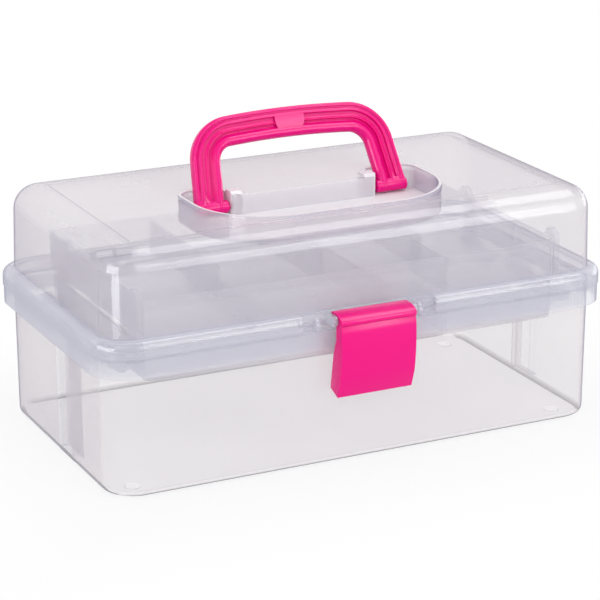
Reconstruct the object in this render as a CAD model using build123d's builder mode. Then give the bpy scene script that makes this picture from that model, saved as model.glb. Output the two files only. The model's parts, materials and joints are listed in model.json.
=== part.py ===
from build123d import *
import os
from math import atan2, cos, degrees, radians, sin, tan

# Clear carry box with a hinged lid, two lifting trays, a folding handle and a snap latch.
# Millimetres. The origin is on the surface the box stands on, below the middle of the box.
# X runs along the box, the latch is on the -Y side, the lid's hinges are on the +Y side.

# Rim band, where lid and base meet
rim_length = 330.0
rim_depth = 180.8
rim_corner = 23.0
seam_height = 84.0
wall = 2.0
rim_step = 0.5

# Base tub
foot_height = 1.0
foot_diameter = 9.0
foot_inset_x = 18.6
foot_inset_y = 19.1
rim_overhang_x = 6.9
rim_overhang_y = 4.3
base_corner = 20.0
base_draft = 0.3
base_bottom_radius = 4.0
base_band_height = 11.0
band_dip = 3.5
lip_rise = 3.0
pilaster_width = 24.0
pilaster_depth = 5.0
pilaster_y = -10.0
pilaster_corner_radius = 1.8

# Lid
shoulder_width_x = 7.1
shoulder_width_y = 5.35
lid_corner = 18.0
lid_draft = 1.5
lid_edge_radius = 15.0
shoulder_rise = 10.8
shoulder_radius = 5.3
box_height = 145.2
panel_inset_x = 18.9
panel_inset_y = 18.05
panel_groove_width = 2.2
panel_groove_depth = 0.5
panel_corner = 3.0

# Lid hinges at the back
hinge_pair_width = 180.0
hinge_width = 44.0
hinge_knuckle_radius = 4.5
hinge_stand_off = 2.4
hinge_pin_radius = 1.5
hinge_gap = 0.3
hinge_seam_gap = 0.5
hinge_web_foot = 1.5
hinge_web_rise = 8.0
pin_chamfer = 0.3

# Handle and its pocket in the lid
handle_width = 139.6
handle_reach = 55.0
handle_band = 17.7
handle_grip_band = 18.0
handle_taper_width = 6.3
handle_arch_rise = 4.4
handle_thickness = 8.0
handle_outer_radius = 28.0
handle_inner_radius = 7.5
handle_lean = 26.3
handle_pivot_y = -1.8
handle_pivot_drop = 7.4
handle_barrel_length = 20.6
handle_pin_radius = 2.3
handle_pin_length = 7.0
handle_channel_start = 5.6
handle_channel_width = 6.8
handle_channel_depth = 1.3
handle_rib_width = 1.2
handle_rib_height = 0.6
handle_channel_foot = 5.0
handle_pad_length = 19.0
handle_edge_radius = 1.8
pocket_depth = 12.2
pocket_wall = 1.8
pocket_side_gap = 7.5
pocket_front_gap = 7.8
pocket_back = 8.2
pocket_front_radius = 44.0
pocket_back_radius = 9.0
pocket_rim_rise = 1.8
tongue_front = -5.6
tongue_gap = 1.0
tongue_radius = 2.0
ear_rise = 1.8
ear_depth = 10.0
ear_chamfer = 2.0
ear_end_wall = 1.0
handle_pin_end_gap = 0.5

# Latch
latch_width = 48.0
latch_wall = 2.2
latch_pin_rise = 7.0
latch_pin_radius = 1.25
latch_pin_stand_off = 4.4
latch_barrel_radius = 2.6
latch_gap = 0.4
latch_face_offset = 7.0
latch_flange_back = 6.4
latch_flange_rise = 3.8
latch_flange_front_rise = 2.7
latch_flange_front = 4.4
catch_width = 32.0
catch_drop = 9.0
catch_proud = 1.9
catch_land = 1.0
catch_slope = 3.0
catch_undercut = 0.5
nose_drop = 13.0
nose_land = 1.0
nose_upper_slope = 4.0
nose_lower_slope = 3.0
nose_clearance = 0.3
bay_width = 86.0
bay_depth = 3.6
bay_lip_gap = 0.4
bay_rib_x = 32.0
bay_rib_thickness = 2.5
bay_rib_height = 7.8
bay_rib_shoulder_height = 3.5
bay_rib_proud = 0.5
bay_lug_thickness = 2.5
bay_lug_radius = 3.0

# Side view of the latch's face, each point as (in from its reach, height from the seam)
latch_lip = (1.0, 8.6)
latch_lip_front = (0.1, 7.4)
latch_lip_end = (1.2, 4.8)
latch_step = (0.4, 2.8)
latch_belly = (0.0, -14.0)
latch_belly_end = (1.6, -29.0)
latch_tail = (5.0, -39.0)
latch_tail_slant = 0.6
cheek_inset = 0.6
cheek_gap = 1.3
cheek_knee_inset = 1.5
cheek_foot_drop = 35.7
cheek_knee_drop = 27.0
cheek_band_drop = 13.5
cheek_head_drop = 5.0
cheek_neck_rise = 4.4

# Trays
tray_end_space = 21.9
tray_side_space = 6.05
upper_tray_rise = 5.0
upper_tray_height = 24.0
lower_tray_end_step = 1.0
lower_tray_front_step = 1.0
lower_tray_back_step = 2.0
lower_tray_drop = 20.0
lower_tray_height = 21.5
tray_wall = 1.6
tray_corner = 7.0
tray_edge_radius = 2.5
divider_thickness = 1.4
divider_drop = 1.5
front_row_depth = 47.0
front_divider_x = 58.5
rear_divider_distance = 67.0
rear_divider_count = 3
lower_divider_distance = 88.0
lower_divider_count = 2

# Lifting linkage
lid_pivot_y = 36.0
lid_pivot_drop = 2.0
front_arm_pivot_y = -6.0
rear_arm_pivot_y = 48.0
arm_pivot_drop = 6.0
lower_crank_length = 28.0
lower_crank_tilt = 12.0
arm_thickness = 3.0
arm_radius = 5.5
arm_tray_gap = 9.0
link_radius = 6.0
ear_thickness = 3.6
ear_overlap = 0.4
ear_top_rise = 5.0
bracket_thickness = 3.0
bracket_gap = 0.3
bracket_web_rise = 13.2
bracket_web_thickness = 3.0
boss_radius = 4.5
boss_gap = 0.3
stud_radius = 2.0
stud_head_radius = 3.5
stud_head_thickness = 1.0
stud_seat_depth = 6.0
running_clearance = 0.08
open_clearance = 0.3

# Sizes that follow from the ones above
lip_top = seam_height + lip_rise
shoulder_height = seam_height + shoulder_rise
latch_pin_height = seam_height + latch_pin_rise
catch_height = seam_height - catch_drop
nose_height = seam_height - nose_drop
upper_tray_bottom = seam_height + upper_tray_rise
lower_tray_bottom = seam_height - lower_tray_drop
lid_pivot = (lid_pivot_y, seam_height - lid_pivot_drop)
front_arm_pivot = (front_arm_pivot_y, seam_height - arm_pivot_drop)
rear_arm_pivot = (rear_arm_pivot_y, seam_height - arm_pivot_drop)
band_bottom = seam_height - base_band_height
base_rim_length = rim_length - 2 * rim_step
base_rim_depth = rim_depth - 2 * rim_step
base_length = rim_length - 2 * rim_overhang_x
base_depth = rim_depth - 2 * rim_overhang_y
foot_x = base_length / 2 - foot_inset_x
foot_y = base_depth / 2 - foot_inset_y
lid_length = rim_length - 2 * shoulder_width_x
lid_depth = rim_depth - 2 * shoulder_width_y
panel_length = lid_length - 2 * panel_inset_x
panel_depth = lid_depth - 2 * panel_inset_y
tray_length = lid_length - 2 * wall - 2 * tray_end_space
upper_tray_depth = lid_depth - 2 * wall - 2 * tray_side_space
lower_tray_length = tray_length - 2 * lower_tray_end_step
lower_tray_front = -upper_tray_depth / 2 + lower_tray_front_step
lower_tray_back = upper_tray_depth / 2 - lower_tray_back_step
arm_inner_x = tray_length / 2 + arm_tray_gap
bracket_web_height = shoulder_height + bracket_web_rise
band_dip_span = rim_length - 2 * rim_corner
hinge_y = rim_depth / 2 + hinge_stand_off + hinge_knuckle_radius
hinge_centre = (hinge_y, seam_height)
upper_crank = (lid_pivot[0] - hinge_y, lid_pivot[1] - seam_height)
lower_crank = (
    -lower_crank_length * cos(radians(lower_crank_tilt)),
    -lower_crank_length * sin(radians(lower_crank_tilt)),
)
upper_front_pivot = (front_arm_pivot[0] + upper_crank[0], front_arm_pivot[1] + upper_crank[1])
lower_front_pivot = (front_arm_pivot[0] + lower_crank[0], front_arm_pivot[1] + lower_crank[1])
lower_rear_pivot = (rear_arm_pivot[0] + lower_crank[0], rear_arm_pivot[1] + lower_crank[1])
arm_outer_x = arm_inner_x + arm_thickness
tray_end_x = tray_length / 2
ear_inner_x = tray_end_x - ear_overlap
ear_outer_x = ear_inner_x + ear_thickness
bracket_inner_x = ear_outer_x + bracket_gap
bracket_outer_x = bracket_inner_x + bracket_thickness
upper_tray_top = upper_tray_bottom + upper_tray_height
pocket_floor = box_height - pocket_depth
handle_pivot_z = box_height - handle_pivot_drop
tongue_half = handle_width / 2 - handle_barrel_length - tongue_gap
latch_pin_y = -rim_depth / 2 - latch_pin_stand_off
latch_reach = latch_face_offset - latch_pin_y
pilaster_face = base_length / 2 - wall - pilaster_depth
knuckle_length = hinge_width / 3 - hinge_gap
hinge_centres = (-hinge_pair_width / 2, hinge_pair_width / 2)
sides = (-1, 1)
latch_top = latch_pin_height + latch_flange_rise
lug_inner = latch_width / 2 + latch_gap
lug_outer = lug_inner + bay_lug_thickness
tolerance = 0.01

os.makedirs("parts", exist_ok=True)


def wall_plane(side, inner, outer):
    """Plane across X where an extrusion from inner to outer on one side of the box begins."""
    return Plane.YZ.offset(inner if side > 0 else -outer)


def link_outline(points, radius):
    """Face of a flat link: bars of the same width between its pivots, with round ends."""
    with BuildSketch() as outline:
        for start, end in zip(points, points[1:]):
            middle = ((start[0] + end[0]) / 2, (start[1] + end[1]) / 2)
            run = Vector(end[0] - start[0], end[1] - start[1])
            turn = degrees(atan2(run.Y, run.X))
            with Locations(Location(middle, turn)):
                SlotCenterToCenter(run.length, 2 * radius)
    return outline.sketch


# Base tub with its rim, lip, pilasters, bosses, feet and hinge knuckles
with BuildPart() as base_tub:
    with BuildSketch(Plane.XY.offset(foot_height)):
        RectangleRounded(base_length, base_depth, base_corner)
    extrude(amount=lip_top - foot_height, taper=-base_draft)
    fillet(base_tub.edges().group_by(Axis.Z)[0], base_bottom_radius)
    # Flat rim and the band that turns down from it
    with BuildSketch(Plane.XY.offset(seam_height - wall)):
        RectangleRounded(base_rim_length, base_rim_depth, rim_corner - rim_step)
    extrude(amount=wall)
    with BuildSketch(Plane.XY.offset(band_bottom)):
        RectangleRounded(base_rim_length, base_rim_depth, rim_corner - rim_step)
        RectangleRounded(
            base_rim_length - 2 * wall,
            base_rim_depth - 2 * wall,
            rim_corner - rim_step - wall,
            mode=Mode.SUBTRACT,
        )
    extrude(amount=base_band_height)
    # Lower edge of the band dips in the middle of the front
    with BuildSketch(Plane.XZ.offset(base_rim_depth / 2 - wall)):
        with BuildLine():
            dip = ThreePointArc(
                (-band_dip_span / 2, band_bottom),
                (0, band_bottom - band_dip),
                (band_dip_span / 2, band_bottom),
            )
            Line(dip @ 1, dip @ 0)
        make_face()
    extrude(amount=wall)
    # Inside of the tub
    with BuildSketch(Plane.XY.offset(foot_height + wall)):
        RectangleRounded(base_length - 2 * wall, base_depth - 2 * wall, base_corner - wall)
    extrude(amount=lip_top - foot_height, taper=-base_draft, mode=Mode.SUBTRACT)
    floor_edges = base_tub.edges().filter_by(
        lambda edge: abs(edge.center().Z - foot_height - wall) < tolerance
    )
    fillet(floor_edges, base_bottom_radius - wall)
    # Pilaster in the middle of each end, hollow from outside, which carries the front arm
    for side in sides:
        outside = base_length / 2 - wall / 2
        with BuildSketch(Plane.XY.offset(foot_height + wall / 2)):
            with Locations((side * (pilaster_face + outside) / 2, pilaster_y)):
                Rectangle(outside - pilaster_face, pilaster_width)
        extrude(amount=seam_height - wall - foot_height)
        with BuildSketch(Plane.XY.offset(foot_height + 2 * wall)):
            with Locations((side * (pilaster_face + base_length / 2 + 2 * wall) / 2, pilaster_y)):
                Rectangle(base_length / 2 - pilaster_face, pilaster_width - 2 * wall)
        extrude(amount=seam_height - foot_height - 4 * wall, mode=Mode.SUBTRACT)
    pilaster_edges = base_tub.edges().filter_by(Axis.Z).filter_by(
        lambda edge: abs(abs(edge.center().X) - pilaster_face) < tolerance
    )
    fillet(pilaster_edges, pilaster_corner_radius)
    # Bosses for the arm pivots, each with a hole for its stud
    for side in sides:
        with BuildSketch(wall_plane(side, arm_outer_x + boss_gap, base_length / 2 - wall / 2)):
            with Locations(front_arm_pivot, rear_arm_pivot):
                Circle(boss_radius)
        extrude(amount=base_length / 2 - wall / 2 - arm_outer_x - boss_gap)
        with BuildSketch(wall_plane(side, arm_outer_x, arm_outer_x + stud_seat_depth)):
            with Locations(front_arm_pivot, rear_arm_pivot):
                Circle(stud_radius)
        extrude(amount=stud_seat_depth, mode=Mode.SUBTRACT)
    # Catch for the latch on the front of the band
    with BuildSketch(Plane.YZ):
        with BuildLine():
            Polyline(
                (-base_rim_depth / 2 + wall / 2, catch_height + catch_slope),
                (-base_rim_depth / 2, catch_height + catch_slope),
                (-base_rim_depth / 2 - catch_proud, catch_height),
                (-base_rim_depth / 2 - catch_proud, catch_height - catch_land),
                (-base_rim_depth / 2, catch_height - catch_land - catch_undercut),
                (-base_rim_depth / 2 + wall / 2, catch_height - catch_land - catch_undercut),
                close=True,
            )
        make_face()
    extrude(amount=catch_width / 2, both=True)
    # Hinge knuckles, two at each hinge, with a web down to the band
    for hinge_x in hinge_centres:
        for start in (hinge_x - hinge_width / 2, hinge_x + hinge_width / 2 - knuckle_length):
            with BuildSketch(Plane.YZ.offset(start)):
                with BuildLine():
                    Polyline(
                        (base_rim_depth / 2 - wall / 2, band_bottom + hinge_web_foot),
                        (base_rim_depth / 2 - wall / 2, seam_height),
                        (hinge_y, seam_height),
                        (hinge_y, seam_height - hinge_knuckle_radius),
                        close=True,
                    )
                make_face()
                with Locations(hinge_centre):
                    Circle(hinge_knuckle_radius)
                    Circle(hinge_pin_radius, mode=Mode.SUBTRACT)
            extrude(amount=knuckle_length)
    # Feet
    with BuildSketch():
        with GridLocations(2 * foot_x, 2 * foot_y, 2, 2):
            Circle(foot_diameter / 2)
    extrude(amount=foot_height + wall / 2)
base_tub.part.label = "base_tub"


def lid_form(inset, start):
    """Outer form of the lid, or its inside when inset by the wall: skirt, shoulder and dome."""
    with BuildPart() as form:
        with BuildSketch(Plane.XY.offset(start)):
            RectangleRounded(rim_length - 2 * inset, rim_depth - 2 * inset, rim_corner - inset)
        extrude(amount=shoulder_height - inset - start)
        fillet(form.edges().group_by(Axis.Z)[-1], shoulder_radius - inset)
        low = shoulder_height - inset - shoulder_radius / 2
        spread = 2 * (shoulder_radius / 2) * tan(radians(lid_draft))
        with BuildSketch(Plane.XY.offset(low)):
            RectangleRounded(
                lid_length - 2 * inset + spread,
                lid_depth - 2 * inset + spread,
                lid_corner - inset,
            )
        extrude(amount=box_height - inset - low, taper=lid_draft)
        fillet(form.edges().group_by(Axis.Z)[-1], lid_edge_radius - inset)
    return form.part


def pocket_outline(grow):
    """Plan of the handle's pocket: round at the front, with the lid's tongue between its ends."""
    half = handle_width / 2 + pocket_side_gap
    front = -handle_reach - pocket_front_gap
    with BuildSketch() as plan:
        with Locations((0, (front + pocket_back) / 2)):
            Rectangle(2 * half, pocket_back - front)
        fillet(plan.vertices().group_by(Axis.Y)[0], pocket_front_radius)
        fillet(plan.vertices().group_by(Axis.Y)[-1], pocket_back_radius)
        with Locations((0, pocket_back)):
            Rectangle(2 * tongue_half, 2 * (pocket_back - tongue_front), mode=Mode.SUBTRACT)
        tongue_corners = plan.vertices().filter_by(
            lambda corner: abs(corner.Y - tongue_front) < tolerance
        )
        fillet(tongue_corners, tongue_radius)
        if grow > 0:
            offset(amount=grow)
    return plan.sketch


# Lid with its handle pocket, tray brackets, latch lugs and hinge knuckles
lid_outside = lid_form(0, seam_height)
lid_inside = lid_form(wall, seam_height - wall)
with BuildPart() as lid:
    add(lid_outside)
    add(lid_inside, mode=Mode.SUBTRACT)
    # Pocket for the folded handle
    with BuildSketch(Plane.XY.offset(pocket_floor - pocket_wall)):
        add(pocket_outline(pocket_wall))
    extrude(amount=pocket_depth + pocket_wall - wall / 2)
    # Raised rim round the pocket, left out along the tongue
    with BuildSketch(Plane.XY.offset(box_height - wall / 2)):
        add(pocket_outline(pocket_wall))
        with Locations((0, pocket_back)):
            Rectangle(2 * tongue_half, 2 * (pocket_back - tongue_front), mode=Mode.SUBTRACT)
    extrude(amount=pocket_rim_rise + wall / 2)
    # Ears at the ends of the tongue, which hold the handle's pins
    ear_start = tongue_half - handle_pin_length - ear_end_wall
    ear_top = box_height + ear_rise
    for side in sides:
        with BuildSketch(wall_plane(side, ear_start, tongue_half)):
            with BuildLine():
                Polyline(
                    (tongue_front, pocket_floor - pocket_wall),
                    (tongue_front, ear_top - ear_chamfer),
                    (tongue_front + ear_chamfer, ear_top),
                    (tongue_front + ear_depth - ear_chamfer, ear_top),
                    (tongue_front + ear_depth, ear_top - ear_chamfer),
                    (tongue_front + ear_depth, pocket_floor - pocket_wall),
                    close=True,
                )
            make_face()
        extrude(amount=tongue_half - ear_start)
    with BuildSketch(Plane.XY.offset(pocket_floor)):
        add(pocket_outline(0))
    extrude(amount=pocket_depth + 2 * ear_rise, mode=Mode.SUBTRACT)
    pin_hole_depth = handle_pin_length + handle_pin_end_gap
    for side in sides:
        with BuildSketch(wall_plane(side, tongue_half - pin_hole_depth, tongue_half)):
            with Locations((handle_pivot_y, handle_pivot_z)):
                Circle(handle_pin_radius + running_clearance)
        extrude(amount=pin_hole_depth, mode=Mode.SUBTRACT)
    # Line round the flat top panel
    with BuildSketch(Plane.XY.offset(box_height - panel_groove_depth)):
        RectangleRounded(panel_length, panel_depth, panel_corner)
        RectangleRounded(
            panel_length - 2 * panel_groove_width,
            panel_depth - 2 * panel_groove_width,
            panel_corner - panel_groove_width,
            mode=Mode.SUBTRACT,
        )
    extrude(amount=panel_groove_depth, mode=Mode.SUBTRACT)
    # Brackets that carry the upper tray, one inside each end of the lid
    for side in sides:
        with BuildSketch(wall_plane(side, bracket_inner_x, bracket_outer_x)):
            bracket_top = (lid_pivot[0], bracket_web_height - link_radius)
            add(link_outline((lid_pivot, bracket_top), link_radius))
            with Locations((lid_pivot[0], bracket_web_height - link_radius / 2)):
                Rectangle(2 * link_radius, link_radius)
            with Locations(lid_pivot):
                Circle(stud_radius + running_clearance, mode=Mode.SUBTRACT)
        extrude(amount=bracket_thickness)
        web_reach = lid_length / 2 - wall / 2 - bracket_inner_x
        with BuildSketch(wall_plane(side, bracket_inner_x, bracket_inner_x + web_reach)):
            with Locations((lid_pivot[0], bracket_web_height - bracket_web_thickness / 2)):
                Rectangle(2 * link_radius, bracket_web_thickness)
        extrude(amount=web_reach)
    # Latch bay: a recess in the skirt, open at the seam and above, with its own back and ends
    front_face = -rim_depth / 2
    bay_back = front_face + bay_depth
    bay_bottom = lip_top + bay_lip_gap
    with BuildPart(mode=Mode.PRIVATE) as bay_walls:
        with BuildSketch(Plane.XZ.offset(-bay_back - wall)):
            with Locations((0, (bay_bottom + shoulder_height) / 2)):
                Rectangle(bay_width + 2 * wall, shoulder_height - bay_bottom)
        extrude(amount=bay_depth + wall / 2)
        add(lid_outside, mode=Mode.INTERSECT)
    add(bay_walls.part)
    with BuildSketch(Plane.XZ.offset(-bay_back)):
        with Locations((0, shoulder_height)):
            Rectangle(bay_width, 2 * (shoulder_height - seam_height + wall))
    extrude(amount=bay_depth + wall, mode=Mode.SUBTRACT)
    for side in sides:
        # Rib with a rounded top that guards the latch
        with BuildSketch(wall_plane(side, bay_rib_x, bay_rib_x + bay_rib_thickness)):
            with BuildLine():
                rib_top = (bay_back + wall / 2, seam_height + bay_rib_height)
                rib_front = (front_face - bay_rib_proud, seam_height + bay_rib_shoulder_height)
                rib_foot = (front_face - bay_rib_proud, seam_height + bay_lip_gap)
                rib_foot_back = (bay_back - bay_lip_gap, seam_height + bay_lip_gap)
                rib_step = (bay_back - bay_lip_gap, bay_bottom)
                rib_back = (bay_back + wall / 2, bay_bottom)
                TangentArc(rib_top, rib_front, tangent=(-1, 0))
                Polyline(rib_front, rib_foot, rib_foot_back, rib_step, rib_back, rib_top)
            make_face()
        extrude(amount=bay_rib_thickness)
        # Lug beside the latch that holds its pin
        with BuildSketch(wall_plane(side, lug_inner, lug_outer)):
            lug_back = bay_back + wall / 2
            with Locations(((lug_back + latch_pin_y) / 2, latch_pin_height)):
                Rectangle(lug_back - latch_pin_y, 2 * bay_lug_radius)
            with Locations((latch_pin_y, latch_pin_height)):
                Circle(bay_lug_radius)
                Circle(latch_pin_radius, mode=Mode.SUBTRACT)
        extrude(amount=bay_lug_thickness)
    # Hinge knuckle in the middle of each hinge
    for hinge_x in hinge_centres:
        with BuildSketch(Plane.YZ.offset(hinge_x - knuckle_length / 2)):
            with BuildLine():
                Polyline(
                    (rim_depth / 2 - wall / 2, seam_height + hinge_seam_gap),
                    (rim_depth / 2 - wall / 2, seam_height + hinge_web_rise),
                    (hinge_y, seam_height + hinge_knuckle_radius),
                    (hinge_y, seam_height + hinge_seam_gap),
                    close=True,
                )
            make_face()
            with Locations(hinge_centre):
                Circle(hinge_knuckle_radius)
                Circle(hinge_pin_radius + running_clearance, mode=Mode.SUBTRACT)
        extrude(amount=knuckle_length)
lid.part.label = "lid"


def tray(length, front, back, bottom, height, cross_spacing, cross_count):
    """Open tray with a front row, split once, and a back row split by evenly spaced dividers."""
    depth = back - front
    middle = (front + back) / 2
    row_line = front + front_row_depth
    with BuildPart() as form:
        with BuildSketch(Plane.XY.offset(bottom)):
            with Locations((0, middle)):
                RectangleRounded(length, depth, tray_corner)
        extrude(amount=height)
        fillet(form.edges().group_by(Axis.Z)[0], tray_edge_radius)
        with BuildSketch(Plane.XY.offset(bottom + tray_wall)):
            with Locations((0, middle)):
                RectangleRounded(length - 2 * tray_wall, depth - 2 * tray_wall, tray_corner - tray_wall)
        extrude(amount=height, mode=Mode.SUBTRACT)
        with BuildSketch(Plane.XY.offset(bottom + tray_wall / 2)):
            with Locations((0, row_line)):
                Rectangle(length - tray_wall, divider_thickness)
            with Locations((front_divider_x, (front + row_line + tray_wall / 2) / 2)):
                Rectangle(divider_thickness, row_line - front - tray_wall / 2)
            with Locations((0, (row_line + back - tray_wall / 2) / 2)):
                with GridLocations(cross_spacing, 1, cross_count, 1):
                    Rectangle(divider_thickness, back - row_line - tray_wall / 2)
        extrude(amount=height - tray_wall / 2 - divider_drop)
    return form.part


# Upper tray, with hanging ears for its four pivots
upper_tray_form = tray(
    tray_length,
    -upper_tray_depth / 2,
    upper_tray_depth / 2,
    upper_tray_bottom,
    upper_tray_height,
    rear_divider_distance,
    rear_divider_count,
)
with BuildPart() as upper_tray:
    add(upper_tray_form)
    ear_top = upper_tray_top + ear_top_rise - link_radius
    for side in sides:
        with BuildSketch(wall_plane(side, ear_inner_x, ear_outer_x)):
            add(link_outline((lid_pivot, (lid_pivot[0], ear_top)), link_radius))
            add(link_outline((upper_front_pivot, (upper_front_pivot[0], ear_top)), link_radius))
            with Locations(lid_pivot, upper_front_pivot):
                Circle(stud_radius, mode=Mode.SUBTRACT)
        extrude(amount=ear_thickness)
        spacer = arm_inner_x - boss_gap - ear_outer_x
        with BuildSketch(wall_plane(side, ear_outer_x, ear_outer_x + spacer)):
            with Locations(upper_front_pivot):
                Circle(boss_radius)
                Circle(stud_radius, mode=Mode.SUBTRACT)
        extrude(amount=spacer)
upper_tray.part.label = "upper_tray"

# Lower tray, with bosses on its ends for its four pivots
lower_tray_form = tray(
    lower_tray_length,
    lower_tray_front,
    lower_tray_back,
    lower_tray_bottom,
    lower_tray_height,
    lower_divider_distance,
    lower_divider_count,
)
with BuildPart() as lower_tray:
    add(lower_tray_form)
    for side in sides:
        boss_start = lower_tray_length / 2 - tray_wall / 2
        boss_end = arm_inner_x - boss_gap
        with BuildSketch(wall_plane(side, boss_start, boss_end)):
            with Locations(lower_front_pivot, lower_rear_pivot):
                Circle(boss_radius)
        extrude(amount=boss_end - boss_start)
        with BuildSketch(wall_plane(side, boss_end - stud_seat_depth, boss_end)):
            with Locations(lower_front_pivot, lower_rear_pivot):
                Circle(stud_radius)
        extrude(amount=stud_seat_depth, mode=Mode.SUBTRACT)
lower_tray.part.label = "lower_tray"


def arm(side, pivots, open_pivot):
    """Flat arm on one side of the box; the pivot that closes the linkage has a wider hole."""
    with BuildPart() as form:
        with BuildSketch(wall_plane(side, arm_inner_x, arm_outer_x)):
            add(link_outline(pivots, arm_radius))
            for pivot in pivots:
                clearance = open_clearance if pivot == open_pivot else running_clearance
                with Locations(pivot):
                    Circle(stud_radius + clearance, mode=Mode.SUBTRACT)
        extrude(amount=arm_thickness)
    return form


front_pivots = (front_arm_pivot, lower_front_pivot, upper_front_pivot)
rear_pivots = (rear_arm_pivot, lower_rear_pivot)
arms = {}
for side, side_name in zip(sides, ("left", "right")):
    arms["front_arm_" + side_name] = arm(side, front_pivots, upper_front_pivot)
    arms["rear_arm_" + side_name] = arm(side, rear_pivots, lower_rear_pivot)
for arm_name, arm_part in arms.items():
    arm_part.part.label = arm_name


def studs(pivots, shank_start, shank_end, head_start):
    """Moulded studs with round heads, the same on both sides of the box."""
    with BuildPart() as group:
        for side in sides:
            with BuildSketch(wall_plane(side, shank_start, shank_end)):
                with Locations(pivots):
                    Circle(stud_radius)
            extrude(amount=shank_end - shank_start)
            with BuildSketch(wall_plane(side, head_start, head_start + stud_head_thickness)):
                with Locations(pivots):
                    Circle(stud_head_radius)
            extrude(amount=stud_head_thickness)
    return group


# Studs that the arms turn on, pressed into the base
head_of_base_stud = arm_inner_x - boss_gap - stud_head_thickness
base_studs = studs(
    (front_arm_pivot, rear_arm_pivot),
    head_of_base_stud,
    arm_outer_x + stud_seat_depth,
    head_of_base_stud,
)
base_studs.part.label = "base_studs"

# Studs in the front of the upper tray, which the front arms carry
upper_front_studs = studs(
    (upper_front_pivot,),
    ear_inner_x,
    arm_outer_x + boss_gap + stud_head_thickness,
    arm_outer_x + boss_gap,
)
upper_front_studs.part.label = "upper_tray_front_studs"

# Studs in the back of the upper tray, which the lid's brackets carry
upper_rear_studs = studs(
    (lid_pivot,),
    ear_inner_x,
    bracket_outer_x + boss_gap + stud_head_thickness,
    bracket_outer_x + boss_gap,
)
upper_rear_studs.part.label = "upper_tray_rear_studs"

# Studs in the ends of the lower tray
lower_studs = studs(
    (lower_front_pivot, lower_rear_pivot),
    arm_inner_x - boss_gap - stud_seat_depth,
    arm_outer_x + boss_gap + stud_head_thickness,
    arm_outer_x + boss_gap,
)
lower_studs.part.label = "lower_tray_studs"

# Hinge pins
hinge_pins = {}
for hinge_x, side_name in zip(hinge_centres, ("left", "right")):
    with BuildPart() as hinge_pin:
        with BuildSketch(Plane.YZ.offset(hinge_x - hinge_width / 2)):
            with Locations(hinge_centre):
                Circle(hinge_pin_radius)
        extrude(amount=hinge_width)
        chamfer(hinge_pin.edges().filter_by(GeomType.CIRCLE), pin_chamfer)
    hinge_pin.part.label = "hinge_pin_" + side_name
    hinge_pins[hinge_pin.part.label] = hinge_pin

# Handle, leaning back from its pins
lean = radians(handle_lean)
handle_plane = Plane(
    origin=(0, handle_pivot_y, handle_pivot_z),
    x_dir=(1, 0, 0),
    z_dir=(0, -cos(lean), sin(lean)),
)


def handle_edge(inset):
    """Area below a line that follows the handle's outer edge, further in by an inset."""
    share = inset / handle_band
    foot = handle_width / 2 - inset
    crown = handle_reach - share * handle_grip_band
    shoulder = foot - handle_taper_width * crown / handle_reach
    shoulder_drop = handle_arch_rise * (shoulder / (handle_width / 2)) ** 2
    radius = handle_outer_radius + (handle_inner_radius - handle_outer_radius) * share
    with BuildSketch() as area:
        with BuildLine():
            Polyline(
                (-shoulder, crown - shoulder_drop),
                (-foot, 0),
                (foot, 0),
                (shoulder, crown - shoulder_drop),
            )
            ThreePointArc(
                (shoulder, crown - shoulder_drop),
                (0, crown),
                (-shoulder, crown - shoulder_drop),
            )
        make_face()
        fillet(area.vertices().group_by(Axis.Y)[-1], radius)
    return area.sketch


def handle_outline(inset_outer, inset_inner):
    """U of the handle between two lines that follow its outer and inner edges."""
    with BuildSketch() as band:
        add(handle_edge(inset_outer))
        add(handle_edge(inset_inner), mode=Mode.SUBTRACT)
    return band.sketch


with BuildPart() as handle:
    with BuildSketch(handle_plane):
        add(handle_outline(0, handle_band))
    extrude(amount=handle_thickness / 2, both=True)
    rim_edges = []
    for edge in handle.edges():
        centre = handle_plane.to_local_coords(edge.center())
        if abs(abs(centre.Z) - handle_thickness / 2) < tolerance and centre.Y > tolerance:
            rim_edges.append(edge)
    fillet(rim_edges, handle_edge_radius)
    # Channel along each face, with a rib on its floor and a flat pad at the middle of the grip
    for face_side in sides:
        channel_floor = handle_thickness / 2 - handle_channel_depth
        channel_end = handle_channel_start + handle_channel_width
        with BuildSketch(handle_plane.offset(face_side * channel_floor)):
            add(handle_outline(handle_channel_start, channel_end))
            with Locations((0, handle_reach - handle_grip_band / 2)):
                Rectangle(handle_pad_length, handle_grip_band, mode=Mode.SUBTRACT)
            Rectangle(handle_width, 2 * handle_channel_foot, mode=Mode.SUBTRACT)
        extrude(amount=face_side * handle_channel_depth, mode=Mode.SUBTRACT)
        rib_start = handle_channel_start + (handle_channel_width - handle_rib_width) / 2
        rib_seat = handle_rib_height / 4
        with BuildSketch(handle_plane.offset(face_side * (channel_floor - rib_seat))):
            add(handle_outline(rib_start, rib_start + handle_rib_width))
            Rectangle(handle_width, handle_thickness, mode=Mode.SUBTRACT)
        extrude(amount=face_side * (handle_rib_height + rib_seat))
    # Barrels at the feet and the pins that snap into the lid's ears
    for side in sides:
        barrel_end = handle_width / 2
        barrel_start = barrel_end - handle_barrel_length
        with BuildSketch(wall_plane(side, barrel_start, barrel_end)):
            with Locations((handle_pivot_y, handle_pivot_z)):
                Circle(handle_thickness / 2)
        extrude(amount=handle_barrel_length)
        pin_reach = handle_pin_length + tongue_gap
        with BuildSketch(wall_plane(side, barrel_start - pin_reach, barrel_start)):
            with Locations((handle_pivot_y, handle_pivot_z)):
                Circle(handle_pin_radius)
        extrude(amount=pin_reach)
handle.part.label = "handle"


def latch_point(point, inset=0.0):
    """Point of the latch's side view, moved in from its face by an inset."""
    return (-latch_reach + point[0] + inset, seam_height + point[1])


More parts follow.
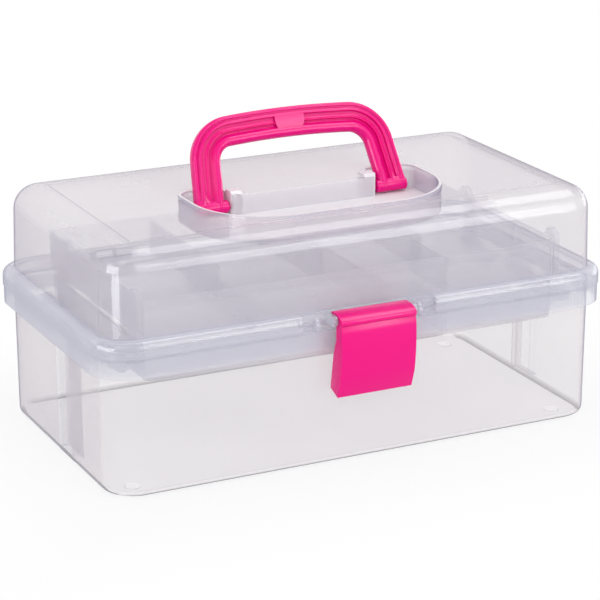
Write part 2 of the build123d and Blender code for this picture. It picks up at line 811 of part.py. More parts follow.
def latch_section():
    """Side view of the latch's curved face and top flange, with the barrel below the flange."""
    flange_end = (latch_pin_y + latch_flange_back, latch_top)
    flange_end_low = (latch_pin_y + latch_flange_back, latch_top - latch_wall)
    flange_front = (latch_pin_y - latch_flange_front, latch_pin_height + latch_flange_front_rise)
    tail_inside = (latch_tail[0], latch_tail[1] + latch_tail_slant)
    with BuildSketch() as section:
        with BuildLine():
            Polyline(flange_end, (latch_pin_y, latch_top), flange_front, latch_point(latch_lip))
            ThreePointArc(
                latch_point(latch_lip),
                latch_point(latch_lip_front),
                latch_point(latch_lip_end),
            )
            Line(latch_point(latch_lip_end), latch_point(latch_step))
            ThreePointArc(
                latch_point(latch_step),
                latch_point(latch_belly),
                latch_point(latch_belly_end),
            )
            Line(latch_point(latch_belly_end), latch_point(latch_tail))
            Line(latch_point(latch_tail), latch_point(tail_inside, latch_wall))
            Line(latch_point(tail_inside, latch_wall), latch_point(latch_belly_end, latch_wall))
            ThreePointArc(
                latch_point(latch_belly_end, latch_wall),
                latch_point(latch_belly, latch_wall),
                latch_point(latch_step, latch_wall),
            )
            Polyline(
                latch_point(latch_step, latch_wall),
                (latch_pin_y, latch_top - latch_wall),
                flange_end_low,
                flange_end,
            )
        make_face()
        with Locations((latch_pin_y, latch_pin_height)):
            Circle(latch_barrel_radius)
            Circle(latch_pin_radius + running_clearance, mode=Mode.SUBTRACT)
    return section.sketch


with BuildPart() as latch:
    with BuildSketch(Plane.YZ):
        add(latch_section())
    extrude(amount=latch_width / 2, both=True)
    # Cheeks at both ends, clear of the rim band while the lid opens with the latch down
    cheek_foot_y = -base_depth / 2 - cheek_gap
    for side in sides:
        with BuildSketch(wall_plane(side, latch_width / 2 - latch_wall, latch_width / 2)):
            with BuildLine():
                Polyline(
                    latch_point(latch_step, cheek_inset),
                    latch_point(latch_belly, cheek_inset),
                    latch_point(latch_belly_end, cheek_inset),
                    latch_point(latch_tail, cheek_inset),
                    (cheek_foot_y, seam_height - cheek_foot_drop),
                    (cheek_foot_y - cheek_knee_inset, seam_height - cheek_knee_drop),
                    (-base_rim_depth / 2 - cheek_gap, seam_height - cheek_band_drop),
                    (latch_pin_y + latch_gap, seam_height - cheek_head_drop),
                    (latch_pin_y + latch_gap, seam_height + cheek_neck_rise),
                    (latch_pin_y + latch_flange_back, latch_top - latch_wall),
                    (latch_pin_y - latch_flange_front, latch_top - latch_wall),
                    close=True,
                )
            make_face()
            with Locations((latch_pin_y, latch_pin_height)):
                Circle(latch_barrel_radius)
                Circle(latch_pin_radius + running_clearance, mode=Mode.SUBTRACT)
        extrude(amount=latch_wall)
    # Nose that snaps below the catch
    nose_tip = -base_rim_depth / 2 - catch_proud - nose_clearance
    nose_top = nose_height + nose_land
    nose_root = -latch_reach + latch_wall / 2
    with BuildSketch(Plane.YZ):
        with BuildLine():
            Polyline(
                (nose_root, nose_top + nose_upper_slope),
                (nose_tip, nose_top),
                (nose_tip, nose_height),
                (nose_root, nose_height - nose_lower_slope),
                close=True,
            )
        make_face()
    extrude(amount=catch_width / 2, both=True)
latch.part.label = "latch"

# Pin of the latch, held in the lid's lugs
with BuildPart() as latch_pin:
    with BuildSketch(Plane.YZ.offset(-lug_outer)):
        with Locations((latch_pin_y, latch_pin_height)):
            Circle(latch_pin_radius)
    extrude(amount=2 * lug_outer)
latch_pin.part.label = "latch_pin"

pieces = [base_tub, lid, upper_tray, lower_tray, handle, latch, latch_pin]
pieces += [base_studs, upper_front_studs, upper_rear_studs, lower_studs]
pieces += list(arms.values()) + list(hinge_pins.values())
for piece in pieces:
    export_step(piece.part, "parts/" + piece.part.label + ".step")
    print(piece.part.label, len(piece.part.solids()), round(piece.part.volume))
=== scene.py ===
import json
import math
from math import cos, pi, radians, sin

import bmesh
import bpy
from mathutils import Matrix, Vector


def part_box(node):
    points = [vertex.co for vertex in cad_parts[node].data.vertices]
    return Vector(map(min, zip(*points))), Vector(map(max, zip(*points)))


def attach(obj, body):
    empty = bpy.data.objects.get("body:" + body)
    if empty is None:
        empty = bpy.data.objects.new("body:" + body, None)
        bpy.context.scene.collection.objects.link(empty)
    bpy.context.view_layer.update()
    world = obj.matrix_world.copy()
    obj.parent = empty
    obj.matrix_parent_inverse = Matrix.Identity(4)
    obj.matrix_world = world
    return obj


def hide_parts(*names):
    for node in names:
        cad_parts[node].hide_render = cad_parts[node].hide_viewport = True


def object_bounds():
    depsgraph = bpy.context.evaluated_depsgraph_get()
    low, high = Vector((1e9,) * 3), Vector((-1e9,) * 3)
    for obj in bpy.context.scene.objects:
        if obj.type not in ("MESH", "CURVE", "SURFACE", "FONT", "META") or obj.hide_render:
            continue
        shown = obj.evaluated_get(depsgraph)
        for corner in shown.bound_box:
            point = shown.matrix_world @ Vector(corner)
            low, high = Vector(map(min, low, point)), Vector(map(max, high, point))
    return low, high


# Clear carry box with a hinged lid, two lifting trays, a folding handle and a snap latch.
# Metres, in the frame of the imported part: X along the box, -Y towards the latch, Z up.
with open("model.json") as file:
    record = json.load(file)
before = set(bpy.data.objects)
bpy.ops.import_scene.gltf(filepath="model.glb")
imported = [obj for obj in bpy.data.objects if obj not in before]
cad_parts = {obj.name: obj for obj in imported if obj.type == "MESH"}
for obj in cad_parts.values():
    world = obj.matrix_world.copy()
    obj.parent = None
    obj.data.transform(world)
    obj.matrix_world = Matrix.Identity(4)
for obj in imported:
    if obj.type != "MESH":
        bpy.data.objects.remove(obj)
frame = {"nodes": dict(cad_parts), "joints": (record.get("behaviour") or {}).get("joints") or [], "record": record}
cad_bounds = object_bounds()
MM = 0.001

# Shader helpers


class Socket:
    """Output socket of a node, which adds Math nodes when it is used in an expression."""

    def __init__(self, shader, output):
        self.shader = shader
        self.output = output

    def math(self, operation, first, second=None):
        inputs = {0: first} if second is None else {0: first, 1: second}
        return self.shader.node("ShaderNodeMath", {"operation": operation}, inputs)[0]

    def __add__(self, other):
        return self.math("ADD", self, other)

    def __radd__(self, other):
        return self.math("ADD", other, self)

    def __sub__(self, other):
        return self.math("SUBTRACT", self, other)

    def __rsub__(self, other):
        return self.math("SUBTRACT", other, self)

    def __mul__(self, other):
        return self.math("MULTIPLY", self, other)

    def __rmul__(self, other):
        return self.math("MULTIPLY", other, self)

    def __truediv__(self, other):
        return self.math("DIVIDE", self, other)

    def __pow__(self, other):
        return self.math("POWER", self, other)

    def clamped(self):
        return self.shader.node("ShaderNodeClamp", {}, {"Value": self})["Result"]


class Shader:
    """Node tree of a material or of the world."""

    def __init__(self, tree):
        self.tree = tree
        tree.nodes.clear()

    def node(self, kind, settings=None, inputs=None):
        """Adds a node: its settings first, then the values or links of its sockets."""
        made = self.tree.nodes.new(kind)
        for name, value in (settings or {}).items():
            setattr(made, name, value)
        for name, value in (inputs or {}).items():
            target = made.inputs[name]
            if isinstance(value, Socket):
                self.tree.links.new(value.output, target)
            else:
                target.default_value = value
        return Outputs(self, made)


class Outputs:
    """Output sockets of one node, by name or by number."""

    def __init__(self, shader, made):
        self.shader = shader
        self.made = made

    def __getitem__(self, key):
        return Socket(self.shader, self.made.outputs[key])


def new_material(name):
    material = bpy.data.materials.new(name)
    material.use_nodes = True
    return material, Shader(material.node_tree)


def object_noise(shader, scale, detail=2.0, stretch=(1.0, 1.0, 1.0)):
    """Noise on Object coordinates, from 0 to 1, with a scale in features a metre."""
    place = shader.node("ShaderNodeTexCoord")["Object"]
    spread = shader.node("ShaderNodeMapping", {}, {"Vector": place, "Scale": stretch})["Vector"]
    return shader.node(
        "ShaderNodeTexNoise", {}, {"Vector": spread, "Scale": scale, "Detail": detail}
    )["Fac"]


# Materials

# Clear plastic: cloud and waves, haze at a slant, gloss, rim band and a painted contact shadow at the foot
CLOUD_SCALE = 16.0
CLOUD_START = 0.85
CLOUD_GAIN = 0.3
FLOW_SCALE = 45.0
FLOW_STRETCH = (1.0, 1.0, 0.4)
BUMP_SHARE = 0.04
BUMP_DEPTH = 4.0 * MM
SLANT_START = 0.66
SLANT_GAIN = 2.1
EDGE_START = 0.50
GRAZING_POWER = 1.5
LEVEL_POWER = 6.0
MIRROR_GAIN = 1.5
MIRROR_POWER = 5.0
RIM_BOTTOM = 72.0 * MM
RIM_TOP = 96.0 * MM
RIM_FADE = 1.5 * MM
FOOT_GAP = 1.0 * MM
# Painted contact shadow at the foot of the walls: its height above the feet and its density
CONTACT_SHADOW_HEIGHT = 2.6 * MM
CONTACT_SHADOW_DENSITY = 0.45
# Pink plastic, with painted shade in its grooves, and steel wire
SHADE_REACH = 2.2 * MM
SHADE_POWER = 1.3
GRAIN_SCALE = 2600.0
GRAIN_DEPTH = 0.3 * MM
PINK_GLOSS = 0.22
PLASTIC_IOR = 1.49
WIRE_LINES = 900.0
# Colours
LID_TINT = (0.76, 0.70, 0.76, 1.0)
TUB_TINT = (0.86, 0.79, 0.83, 1.0)
RIM_TINT = (0.76, 0.76, 0.85, 1.0)
POCKET_TINT = (0.64, 0.61, 0.71, 1.0)
POCKET_FLOOR_TINT = (0.95, 0.92, 0.95, 1.0)
EAR_TINT = (0.90, 0.86, 0.91, 1.0)
PILASTER_TINT = (0.62, 0.60, 0.69, 1.0)
EDGE_TINT = (0.36, 0.35, 0.46, 1.0)
TRAY_TINT = (0.76, 0.76, 0.84, 1.0)
TRAY_EDGE_TINT = (0.50, 0.50, 0.60, 1.0)
# Colour of the painted contact shadow at the foot of the walls
CONTACT_SHADOW_TINT = (0.10, 0.10, 0.12, 1.0)
BLUE_GREY = (0.22, 0.22, 0.33, 1.0)
PINK = (0.93, 0.0, 0.225, 1.0)
PINK_LIGHT = (0.98, 0.008, 0.31, 1.0)
# Dark pink of the painted shade in the pink's grooves
PINK_GROOVE_SHADE = (0.50, 0.0, 0.14, 1.0)
STEEL = (0.80, 0.80, 0.83, 1.0)
WHITE = (1.0, 1.0, 1.0, 1.0)


def clear_plastic(name, tint, density, edge=0.0, gloss=0.022, roughness=0.10, rim=0.0, contact_shadow_height=0.0):
    """Milky clear plastic: a haze over what lies behind it, under a glossy skin. The haze grows
    where the wall is seen at a slant and turns blue-grey at its outline. The rim band can be
    denser, and a painted contact shadow darkens the foot of the walls where it meets the floor."""
    material, shader = new_material(name)
    facing = shader.node("ShaderNodeLayerWeight", {}, {"Blend": 0.5})["Facing"]
    cloud = object_noise(shader, CLOUD_SCALE, 3.0)
    flow = object_noise(shader, FLOW_SCALE, 1.0, FLOW_STRETCH)
    bump = shader.node(
        "ShaderNodeBump", {}, {"Height": flow, "Strength": BUMP_SHARE, "Distance": BUMP_DEPTH}
    )["Normal"]
    place = shader.node("ShaderNodeTexCoord")["Object"]
    height = shader.node("ShaderNodeSeparateXYZ", {}, {"Vector": place})["Z"]
    normal = shader.node("ShaderNodeNewGeometry")["Normal"]
    upright = shader.node("ShaderNodeSeparateXYZ", {}, {"Vector": normal})["Z"]
    colour = tint
    if rim > 0.0:
        above = ((height - RIM_BOTTOM) / RIM_FADE).clamped()
        below = ((RIM_TOP - height) / RIM_FADE).clamped()
        band = above * below
        colour = shader.node(
            "ShaderNodeMix", {"data_type": "RGBA"}, {0: band, 6: colour, 7: RIM_TINT}
        )[2]
        density = density + rim * band
    haze = density * (CLOUD_START + CLOUD_GAIN * cloud)
    if edge > 0.0:
        level = upright.math("ABSOLUTE", upright) ** LEVEL_POWER
        slanted = ((facing - EDGE_START) / (1.0 - EDGE_START)).clamped()
        grazing = slanted ** GRAZING_POWER * (1.0 - level)
        colour = shader.node(
            "ShaderNodeMix", {"data_type": "RGBA"}, {0: grazing, 6: colour, 7: BLUE_GREY}
        )[2]
        haze = haze * (SLANT_START + SLANT_GAIN * facing) + edge * grazing
    # Painted contact shadow: the foot of the walls turns dark and dense towards the floor
    if contact_shadow_height > 0.0:
        low = (1.0 - (height - FOOT_GAP) / contact_shadow_height).clamped()
        colour = shader.node(
            "ShaderNodeMix", {"data_type": "RGBA"}, {0: low, 6: colour, 7: CONTACT_SHADOW_TINT}
        )[2]
        haze = haze + CONTACT_SHADOW_DENSITY * low
    body = shader.node(
        "ShaderNodeBsdfPrincipled",
        {},
        {"Base Color": colour, "Roughness": 0.5, "Specular IOR Level": 0.0, "Normal": bump},
    )[0]
    through = shader.node("ShaderNodeBsdfTransparent", {}, {"Color": WHITE})[0]
    veil = shader.node("ShaderNodeMixShader", {}, {0: haze.clamped(), 1: through, 2: body})[0]
    shine = shader.node(
        "ShaderNodeBsdfAnisotropic",
        {},
        {"Color": WHITE, "Roughness": roughness, "Normal": bump},
    )[0]
    mirror = gloss * (1.0 + MIRROR_GAIN * facing ** MIRROR_POWER)
    skin = shader.node("ShaderNodeMixShader", {}, {0: mirror.clamped(), 1: veil, 2: shine})[0]
    shader.node("ShaderNodeOutputMaterial", {}, {"Surface": skin})
    return material


def pink_plastic(name):
    """Hot pink moulded plastic with a satin gloss and painted shade darkening its grooves."""
    material, shader = new_material(name)
    cloud = object_noise(shader, 30.0, 2.0)
    grain = object_noise(shader, GRAIN_SCALE, 2.0)
    lit = shader.node(
        "ShaderNodeMix",
        {"data_type": "RGBA"},
        {0: (0.1 + 0.2 * cloud).clamped(), 6: PINK, 7: PINK_LIGHT},
    )[2]
    # Painted shade: ambient occlusion darkens the pink in its grooves and creases
    open_side = shader.node("ShaderNodeAmbientOcclusion", {"samples": 8}, {"Distance": SHADE_REACH})
    tint = shader.node(
        "ShaderNodeMix",
        {"data_type": "RGBA"},
        {0: open_side["AO"].clamped() ** SHADE_POWER, 6: PINK_GROOVE_SHADE, 7: lit},
    )[2]
    bump = shader.node(
        "ShaderNodeBump", {}, {"Height": grain, "Strength": BUMP_SHARE, "Distance": GRAIN_DEPTH}
    )["Normal"]
    surface = shader.node(
        "ShaderNodeBsdfPrincipled",
        {},
        {
            "Base Color": tint,
            "Roughness": 0.20 + 0.08 * cloud,
            "IOR": PLASTIC_IOR,
            "Specular IOR Level": PINK_GLOSS,
            "Normal": bump,
        },
    )[0]
    shader.node("ShaderNodeOutputMaterial", {}, {"Surface": surface})
    return material


def wire_steel(name):
    """Drawn steel wire, with fine lines along X."""
    material, shader = new_material(name)
    lines = object_noise(shader, WIRE_LINES, 2.0, (0.02, 1.0, 1.0))
    surface = shader.node(
        "ShaderNodeBsdfPrincipled",
        {},
        {
            "Base Color": STEEL,
            "Metallic": 1.0,
            "Roughness": 0.3 + 0.2 * lines,
        },
    )[0]
    shader.node("ShaderNodeOutputMaterial", {}, {"Surface": surface})
    return material


lid_plastic = clear_plastic("clear_lid_plastic", LID_TINT, 0.150, 1.1, rim=0.11, roughness=0.15)
lid_inside = clear_plastic("clear_lid_inside", LID_TINT, 0.12, gloss=0.008, roughness=0.2, rim=0.09)
pocket_plastic = clear_plastic("clear_pocket_plastic", POCKET_TINT, 0.36, 0.8)
ear_plastic = clear_plastic("clear_ear_plastic", EAR_TINT, 0.62, 0.2)
pocket_floor = clear_plastic("clear_pocket_floor", POCKET_FLOOR_TINT, 0.40, 0.2)
tub_plastic = clear_plastic("clear_tub_plastic", TUB_TINT, 0.116, 1.0, rim=0.15)
tub_inside = clear_plastic("clear_tub_inside", TUB_TINT, 0.10, gloss=0.008, roughness=0.2, rim=0.11)
# Foot of the tub's walls, with a painted contact shadow
tub_foot = clear_plastic("clear_tub_foot_painted_shadow", TUB_TINT, 0.116, 1.0, contact_shadow_height=CONTACT_SHADOW_HEIGHT)
pilaster_plastic = clear_plastic("clear_pilaster_plastic", PILASTER_TINT, 0.15, 0.8)
shell_edge = clear_plastic("clear_shell_edges", EDGE_TINT, 0.50, 0.6, 0.030, 0.12)
tray_plastic = clear_plastic("clear_tray_plastic", TRAY_TINT, 0.15, 0.3, 0.012, 0.15)
tray_edge = clear_plastic("clear_tray_edges", TRAY_EDGE_TINT, 0.50, 0.1, 0.020, 0.15)
pink = pink_plastic("pink_handle_plastic")
steel = wire_steel("hinge_pin_steel")

slot_materials = {
    "clear_plastic": (
        lid_plastic, shell_edge, lid_inside, pocket_plastic, pocket_floor, ear_plastic,
    ),
    "tray_plastic": (tray_plastic, tray_edge, tray_plastic),
    "pink_plastic": (pink,),
    "pin_steel": (steel,),
}
slot_of_node = {part["node"]: part["material_slot"] for part in frame["record"]["subparts"]}
body_of_node = {}
for body_name, members in frame["record"]["behaviour"]["bodies"].items():
    for member in members:
        body_of_node[member] = body_name

# Shells, from the part's own walls

# Places of the finishes in a shell's list of materials
BEVEL_FACE = 1
INSIDE_FACE = 2
SPECIAL_FACE = 3
FLOOR_FACE = 4
EAR_FACE = 5
PILASTER_FACE = 4
# Places of the ears, the pilasters, the foot of the walls and the handle's pocket
EAR_HALF_SPAN = 50.2 * MM
EAR_FRONT = -7.0 * MM
PILASTER_FRONT = -22.5 * MM
PILASTER_BACK = 2.5 * MM
PILASTER_TOP = 71.0 * MM
PILASTER_INSIDE = 8.5 * MM
PILASTER_OUTSIDE = 17.0 * MM
FOOT_TOP = 6.0 * MM
FOOT_FROM_END = 12.0 * MM
FOOT_FROM_SIDE = 10.0 * MM
POCKET_HALF_LENGTH = 79.5 * MM
POCKET_FRONT = -65.0 * MM
POCKET_BACK = 10.5 * MM
POCKET_BOTTOM = 130.0 * MM
FLOOR_SLOPE = 0.8
SHELL_ROUNDING = 0.45 * MM
TRAY_ROUNDING = 0.4 * MM
LATCH_ROUNDING = 1.0 * MM
WELD_DISTANCE = 0.002 * MM
FLAT_ANGLE = radians(0.5)


def finish_piece(name, mesh_edit, node_names, smooth_angle=35.0, finishes=()):
    """Makes an object of a bmesh, in place of CAD nodes, on their body and with their finish."""
    mesh = bpy.data.meshes.new(name)
    mesh_edit.to_mesh(mesh)
    mesh_edit.free()
    piece = bpy.data.objects.new(name, mesh)
    bpy.context.scene.collection.objects.link(piece)
    mesh.shade_smooth()
    mesh.set_sharp_from_angle(angle=radians(smooth_angle))
    first = node_names[0]
    for material in finishes or slot_materials[slot_of_node[first]]:
        mesh.materials.append(material)
    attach(piece, body_of_node[first])
    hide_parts(*node_names)
    return piece


def softened(node_name, width, segments=2, sharp_angle=30.0):
    """Copy of a CAD node with merged corners and its sharp edges rounded."""
    copy = bmesh.new()
    copy.from_mesh(frame["nodes"][node_name].data)
    bmesh.ops.remove_doubles(copy, verts=copy.verts, dist=WELD_DISTANCE)
    bmesh.ops.dissolve_limit(copy, angle_limit=FLAT_ANGLE, verts=copy.verts, edges=copy.edges)
    for face in copy.faces:
        face.material_index = 0
    edges = [
        edge
        for edge in copy.edges
        if edge.is_manifold and edge.calc_face_angle(0.0) > radians(sharp_angle)
    ]
    rounded = bmesh.ops.bevel(
        copy,
        geom=edges,
        offset=width,
        offset_type="OFFSET",
        segments=segments,
        profile=0.5,
        affect="EDGES",
        clamp_overlap=True,
        material=-1,
    )
    return copy, rounded["faces"]


tub_low, tub_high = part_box("base_tub")
tub_foot_x = tub_high.x - FOOT_FROM_END
tub_foot_y = -tub_low.y - FOOT_FROM_SIDE


def foot_finish(face):
    """Finish of the rounded foot of the walls, which carries a painted contact shadow, and of the pilasters in the
    end walls.
    """
    middle = face.calc_center_median()
    outside = abs(middle.x) > tub_foot_x or abs(middle.y) > tub_foot_y
    if outside and middle.z < FOOT_TOP and face.normal.dot((middle.x, middle.y, 0.0)) > 0.0:
        return SPECIAL_FACE
    beside = PILASTER_FRONT < middle.y < PILASTER_BACK and middle.z < PILASTER_TOP
    if beside and PILASTER_INSIDE < tub_high.x - abs(middle.x) < PILASTER_OUTSIDE:
        return PILASTER_FACE
    return 0


def within(face, half_length, front, back, bottom):
    """Whether all corners of a face lie in a box around the middle plane, above its bottom."""
    return all(
        abs(vert.co.x) < half_length and front < vert.co.y < back and vert.co.z > bottom
        for vert in face.verts
    )


def pocket_finish(face):
    """Finish of the faces of the handle's pocket: its floor, its walls, or the ears behind."""
    if not within(face, POCKET_HALF_LENGTH, POCKET_FRONT, POCKET_BACK, POCKET_BOTTOM):
        return 0
    if within(face, EAR_HALF_SPAN, EAR_FRONT, POCKET_BACK, POCKET_BOTTOM):
        return EAR_FACE
    return FLOOR_FACE if face.normal.z > FLOOR_SLOPE else SPECIAL_FACE


def shell(name, node_name, width, special=None, finishes=()):
    """Clear shell of a node, whose rounded edges and inner side have finishes of their own."""
    edit, rounded = softened(node_name, width)
    low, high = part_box(node_name)
    middle = (low + high) / 2
    edge_faces = set(rounded)
    for face in edit.faces:
        outward = face.calc_center_median() - middle
        finish = special(face) if special else 0
        if face in edge_faces and not (finish == SPECIAL_FACE and finishes):
            face.material_index = BEVEL_FACE
        elif finish:
            face.material_index = finish
        elif face.normal.dot(outward) < 0.0:
            face.material_index = INSIDE_FACE
    piece = finish_piece(name, edit, [node_name], finishes=finishes)
    weighted = piece.modifiers.new("even_shading", "WEIGHTED_NORMAL")
    weighted.keep_sharp = True
    return piece


for node_name, node in frame["nodes"].items():
    node.data.materials.clear()
    node.data.materials.append(slot_materials[slot_of_node[node_name]][0])

shell("lid_shell", "lid", SHELL_ROUNDING, pocket_finish)
tub_finishes = (tub_plastic, shell_edge, tub_inside, tub_foot, pilaster_plastic)
shell("base_tub_shell", "base_tub", SHELL_ROUNDING, foot_finish, tub_finishes)
shell("upper_tray_shell", "upper_tray", TRAY_ROUNDING)
shell("lower_tray_shell", "lower_tray", TRAY_ROUNDING)

# Handle, swept from the middle of its grip to a foot and mirrored, in millimetres of its own plane

joint_place = {joint["name"]: Vector(joint["pos_m"]) for joint in frame["joints"]}
handle_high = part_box("handle")[1]
HANDLE_LEAN = 26.3
HANDLE_HALF_WIDTH = handle_high.x / MM
HANDLE_REACH = 55.0
HANDLE_TAPER = 6.3
ARCH_RISE = 4.4
CORNER_RADIUS = 28.0
ARCH_STEPS = 6
CORNER_STEPS = 22
LEG_SHARES = (0.3, 0.6)
BARREL_RADIUS = 4.0
BARREL_LENGTH = 20.6
BARREL_ROUNDING = 0.7
HANDLE_PIN_RADIUS = 2.3
HANDLE_PIN_LENGTH = 8.0
PIN_OVERLAP = 0.2
# The groove between the grip's two ribs is filled near the feet, over this width and height
GROOVE_END = 5.5
GROOVE_RAMP = 1.2
FILLED_FROM = 2.0
FILLED_TO = 14.2
FILLED_HEIGHT = 3.7
# Half of the grip's section, as points (in from the outer edge, out from the middle plane)
GRIP_SECTION = (
    (0.0, 1.2), (0.2, 2.5), (0.7, 3.35), (1.5, 3.6), (2.3, 3.5), (2.75, 2.9), (3.15, 2.85),
    (3.9, 3.7), (4.7, 4.2), (5.4, 4.2), (5.8, 3.8), (5.95, 2.5), (7.4, 2.5), (8.8, 2.7),
    (9.3, 3.35), (9.7, 3.35), (9.95, 2.9), (10.1, 1.8), (11.4, 1.8), (12.0, 2.2),
    (12.9, 3.4), (13.8, 4.05), (14.9, 4.3), (16.0, 4.1), (17.0, 3.4), (17.7, 2.4), (18.0, 1.2),
)
# Rows of a pad, as (in from the outer edge, half its length, out from the middle plane)
PAD_ROWS = {
    1: (5.3, 9.6, 4.25),
    0: (9.2, 9.6, 4.05),
    -1: (13.2, 8.2, 3.2),
}
PAD_SUNK = 2.6

lean = radians(HANDLE_LEAN)
leaning_plane = Matrix(
    (
        (1.0, 0.0, 0.0, 0.0),
        (0.0, sin(lean), -cos(lean), 0.0),
        (0.0, cos(lean), sin(lean), 0.0),
        (0.0, 0.0, 0.0, 1.0),
    )
)
handle_frame = Matrix.Translation(joint_place["handle_pivot"]) @ leaning_plane @ Matrix.Scale(MM, 4)


def grip_bow():
    """One grip, bent from the middle of the handle down to both feet, in its own plane."""
    bow = bmesh.new()
    front = [bow.verts.new((0.0, HANDLE_REACH - s, h)) for s, h in GRIP_SECTION]
    back = [bow.verts.new((0.0, HANDLE_REACH - s, -h)) for s, h in reversed(GRIP_SECTION)]
    ring = front + back
    section = [bow.edges.new((ring[i - 1], ring[i])) for i in range(len(ring))]
    slope = math.atan2(HANDLE_TAPER, HANDLE_REACH)
    arch_radius = HANDLE_HALF_WIDTH ** 2 / (2 * ARCH_RISE)
    arch_centre = HANDLE_REACH - arch_radius
    hub_radius = arch_radius - CORNER_RADIUS
    reach = HANDLE_HALF_WIDTH * cos(slope) - arch_centre * sin(slope) - CORNER_RADIUS
    arch_angle = math.asin(reach / hub_radius) - slope
    hub = Vector((hub_radius * sin(arch_angle), arch_centre + hub_radius * cos(arch_angle), 0.0))
    axis = (0.0, 0.0, -1.0)
    arch = bmesh.ops.spin(
        bow,
        geom=section,
        cent=(0.0, arch_centre, 0.0),
        axis=axis,
        angle=arch_angle,
        steps=ARCH_STEPS,
    )
    section = [item for item in arch["geom_last"] if isinstance(item, bmesh.types.BMEdge)]
    turn = pi / 2 - slope - arch_angle
    corner = bmesh.ops.spin(
        bow, geom=section, cent=hub, axis=axis, angle=turn, steps=CORNER_STEPS
    )
    section = [item for item in corner["geom_last"] if isinstance(item, bmesh.types.BMEdge)]
    outward = Vector((cos(slope), sin(slope), 0.0))
    downward = Vector((sin(slope), -cos(slope), 0.0))
    leg_top = hub + CORNER_RADIUS * outward
    leg_length = leg_top.y / cos(slope)
    groove_stop = leg_length - GROOVE_END
    stops = [leg_length * share for share in LEG_SHARES]
    stops += [groove_stop, groove_stop + GROOVE_RAMP, leg_length]
    done = 0.0
    for stop in stops:
        grown = bmesh.ops.extrude_edge_only(bow, edges=section)["geom"]
        corners = [item for item in grown if isinstance(item, bmesh.types.BMVert)]
        bmesh.ops.translate(bow, verts=corners, vec=downward * (stop - done))
        section = [
            item
            for item in grown
            if isinstance(item, bmesh.types.BMEdge) and all(v in corners for v in item.verts)
        ]
        done = stop
        if stop > groove_stop:
            for corner_vert in corners:
                inset = (leg_top - corner_vert.co).dot(outward)
                if FILLED_FROM < inset < FILLED_TO:
                    corner_vert.co.z = math.copysign(FILLED_HEIGHT, corner_vert.co.z)
    bmesh.ops.contextual_create(bow, geom=section)
    bmesh.ops.mirror(bow, geom=bow.verts[:] + bow.edges[:] + bow.faces[:], axis="X")
    bmesh.ops.remove_doubles(bow, verts=bow.verts, dist=0.01)
    bmesh.ops.recalc_face_normals(bow, faces=bow.faces)
    bmesh.ops.transform(bow, matrix=handle_frame, verts=bow.verts)
    return bow


def handle_fittings():
    """Pivot barrels with their pins, and the pads at the middle of the grip."""
    fittings = bmesh.new()
    for side in (-1, 1):
        turned = Matrix.Rotation(side * pi / 2, 4, "Y")
        middle = side * (HANDLE_HALF_WIDTH - BARREL_LENGTH / 2)
        barrel = bmesh.ops.create_cone(
            fittings, cap_ends=True, segments=48, radius1=BARREL_RADIUS, radius2=BARREL_RADIUS,
            depth=BARREL_LENGTH, matrix=Matrix.Translation((middle, 0.0, 0.0)) @ turned,
        )
        rims = {edge for vert in barrel["verts"] for edge in vert.link_edges}
        ends = [edge for edge in rims if any(len(face.verts) > 4 for face in edge.link_faces)]
        bmesh.ops.bevel(
            fittings, geom=ends, offset=BARREL_ROUNDING, offset_type="OFFSET", segments=3,
            profile=0.5, affect="EDGES", clamp_overlap=True, material=-1,
        )
        pin_middle = side * (
            HANDLE_HALF_WIDTH - BARREL_LENGTH - HANDLE_PIN_LENGTH / 2 + PIN_OVERLAP
        )
        bmesh.ops.create_cone(
            fittings, cap_ends=True, segments=32, radius1=HANDLE_PIN_RADIUS,
            radius2=HANDLE_PIN_RADIUS, depth=HANDLE_PIN_LENGTH,
            matrix=Matrix.Translation((pin_middle, 0.0, 0.0)) @ turned,
        )
    for side in (-1, 1):
        before = set(fittings.verts)
        bmesh.ops.create_grid(fittings, x_segments=1, y_segments=2, size=1.0)
        plate = [vert for vert in fittings.verts if vert not in before]
        for vert in plate:
            inset, half_length, height = PAD_ROWS[round(vert.co.y)]
            vert.co = (vert.co.x * half_length, HANDLE_REACH - inset, side * height)
        faces = list({face for vert in plate for face in vert.link_faces})
        grown = bmesh.ops.extrude_face_region(fittings, geom=faces)["geom"]
        sunk = [item for item in grown if isinstance(item, bmesh.types.BMVert)]
        bmesh.ops.translate(fittings, verts=sunk, vec=(0.0, 0.0, -side * PAD_SUNK))
    bmesh.ops.remove_doubles(fittings, verts=fittings.verts, dist=0.001)
    bmesh.ops.recalc_face_normals(fittings, faces=fittings.faces)
    bmesh.ops.transform(fittings, matrix=handle_frame, verts=fittings.verts)
    return fittings


finish_piece("carry_handle", grip_bow(), ["handle"], 50.0)
finish_piece("handle_pivots_and_pads", handle_fittings(), ["handle"])
latch_edit = softened("latch", LATCH_ROUNDING, 4)[0]
finish_piece("snap_latch", latch_edit, ["latch"])

# Studio: to the camera the floor is white, with a soft shadow left close around the box

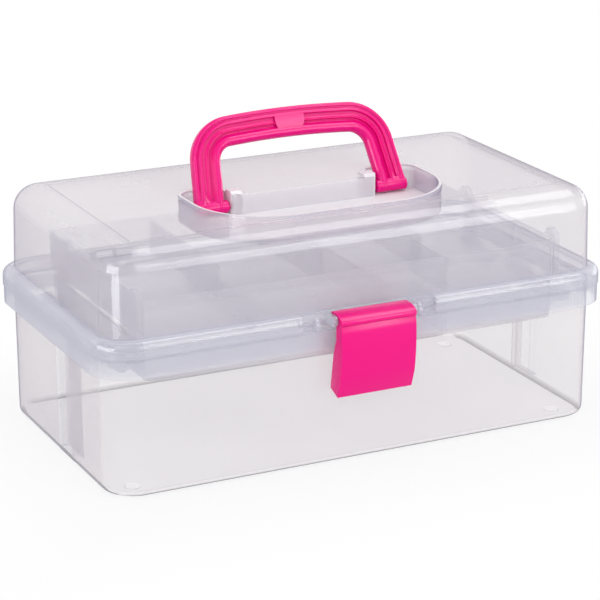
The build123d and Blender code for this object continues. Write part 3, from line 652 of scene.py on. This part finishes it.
SHADOW_REACH = 0.10
NEAR_WHITE = 0.84
SKY_LIGHT = 0.78
floor_material, floor_shader = new_material("pale_floor")
floor_path = floor_shader.node("ShaderNodeLightPath")
floor_surface = floor_shader.node(
    "ShaderNodeBsdfPrincipled",
    {},
    {"Base Color": (0.90, 0.90, 0.91, 1.0), "Roughness": 0.6, "Specular IOR Level": 0.0},
)[0]
white = floor_shader.node("ShaderNodeEmission", {}, {"Color": WHITE, "Strength": 1.0})[0]
seen = floor_path["Is Camera Ray"] + floor_path["Is Glossy Ray"] + floor_path["Is Transmission Ray"]
spot = floor_shader.node(
    "ShaderNodeSeparateXYZ", {}, {"Vector": floor_shader.node("ShaderNodeTexCoord")["Object"]}
)
past_end = spot["X"].math("ABSOLUTE", spot["X"]) - cad_bounds[1][0]
past_side = spot["Y"].math("ABSOLUTE", spot["Y"]) - cad_bounds[1][1]
beside = past_end.math("MAXIMUM", past_end, past_side)
away = (beside / SHADOW_REACH).clamped()
whiteness = NEAR_WHITE + (1.0 - NEAR_WHITE) * away
floor_look = floor_shader.node(
    "ShaderNodeMixShader",
    {},
    {0: (whiteness * seen.clamped()).clamped(), 1: floor_surface, 2: white},
)[0]
floor_shader.node("ShaderNodeOutputMaterial", {}, {"Surface": floor_look})

floor_edit = bmesh.new()
bmesh.ops.create_grid(floor_edit, x_segments=1, y_segments=1, size=6.0)
floor_mesh = bpy.data.meshes.new("floor")
floor_edit.to_mesh(floor_mesh)
floor_edit.free()
floor = bpy.data.objects.new("floor", floor_mesh)
floor_mesh.materials.append(floor_material)
bpy.context.scene.collection.objects.link(floor)

world = bpy.data.worlds.new("studio")
bpy.context.scene.world = world
world.use_nodes = True
sky = Shader(world.node_tree)
path = sky.node("ShaderNodeLightPath")
seen_sky = path["Is Camera Ray"] + path["Is Glossy Ray"] + path["Is Transmission Ray"]
strength = SKY_LIGHT + (1.0 - SKY_LIGHT) * seen_sky.clamped()
background = sky.node(
    "ShaderNodeBackground", {}, {"Color": WHITE, "Strength": strength}
)[0]
sky.node("ShaderNodeOutputWorld", {}, {"Surface": background})


def aimed(place, target):
    """Matrix of a lamp or camera at a place that looks at a target."""
    turn = (Vector(target) - Vector(place)).to_track_quat("-Z", "Y").to_matrix().to_4x4()
    return Matrix.Translation(place) @ turn


def softbox(name, place, target, size, power, gloss_only=False):
    """Rectangular area light at a place, aimed at a target. One for gloss alone only draws
    highlights."""
    lamp = bpy.data.lights.new(name, "AREA")
    lamp.shape = "RECTANGLE"
    lamp.size, lamp.size_y = size
    lamp.energy = power
    holder = bpy.data.objects.new(name, lamp)
    holder.matrix_world = aimed(place, target)
    bpy.context.scene.collection.objects.link(holder)
    holder.visible_camera = False
    holder.visible_diffuse = not gloss_only
    return holder


softbox("front_softbox", (0.9, -1.8, 1.3), (0.0, 0.0, 0.08), (1.0, 0.8), 8.0)
softbox("left_softbox", (-1.3, -1.3, 1.7), (0.0, 0.0, 0.08), (1.0, 0.8), 8.0)
softbox("window_card", (0.86, -1.74, 0.50), (0.0, 0.0, 0.10), (0.66, 1.00), 17.0, True)
softbox("top_card", (0.75, -0.15, 1.60), (0.0, -0.03, 0.15), (1.0, 0.8), 17.0, True)
softbox("left_card", (-1.10, -0.25, 0.30), (-0.05, 0.0, 0.15), (0.9, 0.6), 17.0, True)
softbox("right_card", (1.10, 0.30, 0.20), (0.05, 0.0, 0.15), (0.8, 0.4), 10.0, True)
softbox("corner_card", (-0.46, -0.23, 0.035), (-0.15, -0.08, 0.035), (0.20, 0.066), 0.42, True)

# Camera, at the photograph's viewing angle

CAMERA_LENS = 140.58
CAMERA_PLACE = (-0.5961, -1.2137, 0.5194)
CAMERA_TARGET = (0.00003, 0.00127, 0.07139)
camera_data = bpy.data.cameras.new("camera")
camera_data.lens = CAMERA_LENS
camera_data.sensor_width = 36.0
camera_data.clip_end = 50.0
camera = bpy.data.objects.new("camera", camera_data)
camera.matrix_world = aimed(CAMERA_PLACE, CAMERA_TARGET)
bpy.context.scene.collection.objects.link(camera)
bpy.context.scene.camera = camera

scene = bpy.context.scene
scene.view_settings.view_transform = "Standard"
scene.cycles.transparent_max_bounces = 48
scene.cycles.max_bounces = 16
